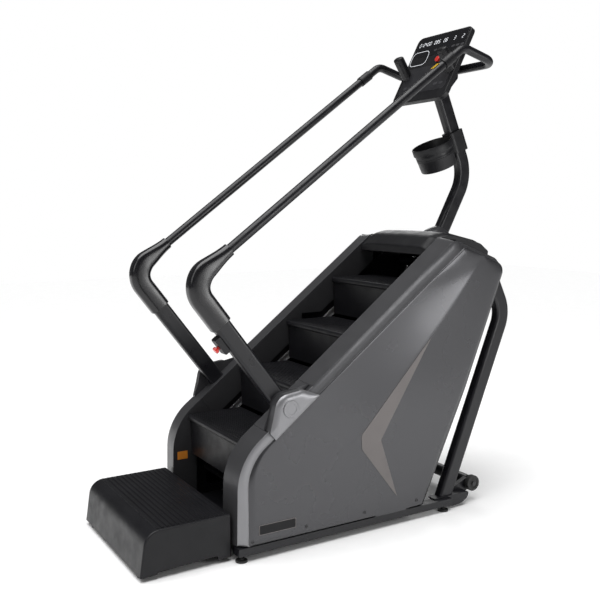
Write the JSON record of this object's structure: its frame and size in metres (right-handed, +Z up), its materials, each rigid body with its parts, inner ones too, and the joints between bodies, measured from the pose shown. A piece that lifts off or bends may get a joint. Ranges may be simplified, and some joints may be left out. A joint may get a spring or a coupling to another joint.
{
  "type": "stair climber",
  "caption": "Gym stair climber with a revolving staircase between metallic side covers, long handrails, a mast with console and cup holder, and a ribbed entry platform.",
  "frame": {"origin": "centre of the footprint box, on the floor", "axes": "+Z up, +Y the way the user faces, towards the mast, +X the user's right"},
  "size_m": [0.81, 1.9415, 2.2932],
  "materials": {
    "frame_paint": "matte black powder coat on welded steel",
    "cast_iron": "machined cast iron",
    "bright_steel": "bright steel",
    "alternator_case": "die-cast housing",
    "tread_plastic": "ribbed black-grey moulded plastic",
    "panel_grey": "moulded side cover, dark metallic grey paint",
    "rim_grey": "moulded rim trim, grey metallic paint",
    "silver_trim": "silver painted trim",
    "strip_bronze": "brownish grey accent strip and dark badge",
    "black_shell": "black moulded plastic",
    "gloss_shell": "satin black moulded elbow cover",
    "display": "dark glossy display window",
    "red_button": "red push button",
    "belt_rubber": "black rubber"
  },
  "bodies": {
    "frame": {"alternator": "alternator_case", "base_rails": "frame_paint", "console_back": "black_shell", "console_bar": "frame_paint", "console_bracket": "frame_paint", "console_front": "black_shell", "console_window": "display", "cross_tubes": "frame_paint", "cup_clamp": "black_shell", "cup_holder": "black_shell", "drive_belt": "belt_rubber", "elbow_cover_left": "gloss_shell", "elbow_cover_right": "gloss_shell", "fasteners": "bright_steel", "guide_rails": "bright_steel", "hood": "black_shell", "hub_caps": "silver_trim", "hub_trim_left": "silver_trim", "hub_trim_right": "silver_trim", "lower_rim_left": "rim_grey", "lower_rim_right": "rim_grey", "lower_tube_left": "frame_paint", "lower_tube_right": "frame_paint", "mast": "frame_paint", "mast_collar": "black_shell", "platform_frame": "frame_paint", "platform_shell": "tread_plastic", "pulse_grips": "black_shell", "rail_collars": "black_shell", "rear_carrier": "frame_paint", "rear_cover": "black_shell", "rear_legs": "frame_paint", "shaft_bearings": "cast_iron", "side_panel_left": "panel_grey", "side_panel_right": "panel_grey", "side_plates": "frame_paint", "side_trims": "strip_bronze", "step_chains": "bright_steel", "stop_box": "black_shell", "upper_rail_left": "frame_paint", "upper_rail_right": "frame_paint", "upper_rim_left": "rim_grey", "upper_rim_right": "rim_grey", "well_panel": "tread_plastic"},
    "stairs": {"front_steps": "tread_plastic"},
    "lower_turn": {"lower_shaft": "bright_steel", "lower_step": "tread_plastic"},
    "upper_turn": {"upper_shaft": "bright_steel", "drive_pulley": "cast_iron", "upper_step": "tread_plastic"},
    "return_run": {"return_steps": "tread_plastic"},
    "alternator_rotor": {"alternator_pulley": "cast_iron"},
    "console_stop": {"console_stop_button": "red_button"},
    "handrail_stop": {"stop_knob": "red_button"},
    "wheel_left": {"transport_wheel_left": "belt_rubber"},
    "wheel_right": {"transport_wheel_right": "belt_rubber"},
    "foot_front_left": {"levelling_foot_front_left": "belt_rubber"},
    "foot_front_right": {"levelling_foot_front_right": "belt_rubber"},
    "foot_rear_left": {"levelling_foot_rear_left": "belt_rubber"},
    "foot_rear_right": {"levelling_foot_rear_right": "belt_rubber"}
  },
  "joints": [
    {"name": "stair_travel", "type": "slide", "parent": "frame", "child": "stairs", "axis": [0, -0.7972, -0.6037], "range_m": [0, 0.217]},
    {"name": "lower_turn", "type": "hinge", "parent": "frame", "child": "lower_turn", "pos_m": [0, -0.36691, 0.29233], "axis": [1, 0, 0], "range_deg": [0, 180]},
    {"name": "upper_turn", "type": "hinge", "parent": "frame", "child": "upper_turn", "pos_m": [0, 0.5332, 0.97403], "axis": [1, 0, 0], "range_deg": [0, 180]},
    {"name": "return_travel", "type": "slide", "parent": "frame", "child": "return_run", "axis": [0, 0.7972, 0.6037], "range_m": [0, 0.2171]},
    {"name": "alternator_spin", "type": "hinge", "parent": "frame", "child": "alternator_rotor", "pos_m": [0.34, 0.2753, 0.195], "axis": [1, 0, 0], "range_deg": [0, 670]},
    {"name": "console_stop_press", "type": "slide", "parent": "frame", "child": "console_stop", "axis": [0, 0.8856, -0.4645], "range_m": [0, 0.004], "stiffness_N_per_m": 900, "springref_m": -0.001},
    {"name": "handrail_stop_press", "type": "slide", "parent": "frame", "child": "handrail_stop", "axis": [0, 0.7938, 0.6081], "range_m": [0, 0.004], "stiffness_N_per_m": 900, "springref_m": -0.001},
    {"name": "wheel_left_spin", "type": "hinge", "parent": "frame", "child": "wheel_left", "pos_m": [-0.345, 0.7293, 0.092], "axis": [1, 0, 0], "continuous": true},
    {"name": "wheel_right_spin", "type": "hinge", "parent": "frame", "child": "wheel_right", "pos_m": [0.345, 0.7293, 0.092], "axis": [1, 0, 0], "continuous": true},
    {"name": "foot_front_left_level", "type": "slide", "parent": "frame", "child": "foot_front_left", "axis": [0, 0, -1], "range_m": [0, 0.015]},
    {"name": "foot_front_right_level", "type": "slide", "parent": "frame", "child": "foot_front_right", "axis": [0, 0, -1], "range_m": [0, 0.015]},
    {"name": "foot_rear_left_level", "type": "slide", "parent": "frame", "child": "foot_rear_left", "axis": [0, 0, -1], "range_m": [0, 0.015]},
    {"name": "foot_rear_right_level", "type": "slide", "parent": "frame", "child": "foot_rear_right", "axis": [0, 0, -1], "range_m": [0, 0.015]}
  ],
  "couplings": [
    {"joint": "lower_turn", "follows": "stair_travel", "rad_per_m": 14.468},
    {"joint": "upper_turn", "follows": "stair_travel", "rad_per_m": 14.468},
    {"joint": "return_travel", "follows": "stair_travel", "ratio": 1},
    {"joint": "alternator_spin", "follows": "stair_travel", "rad_per_m": 53.74}
  ]
}
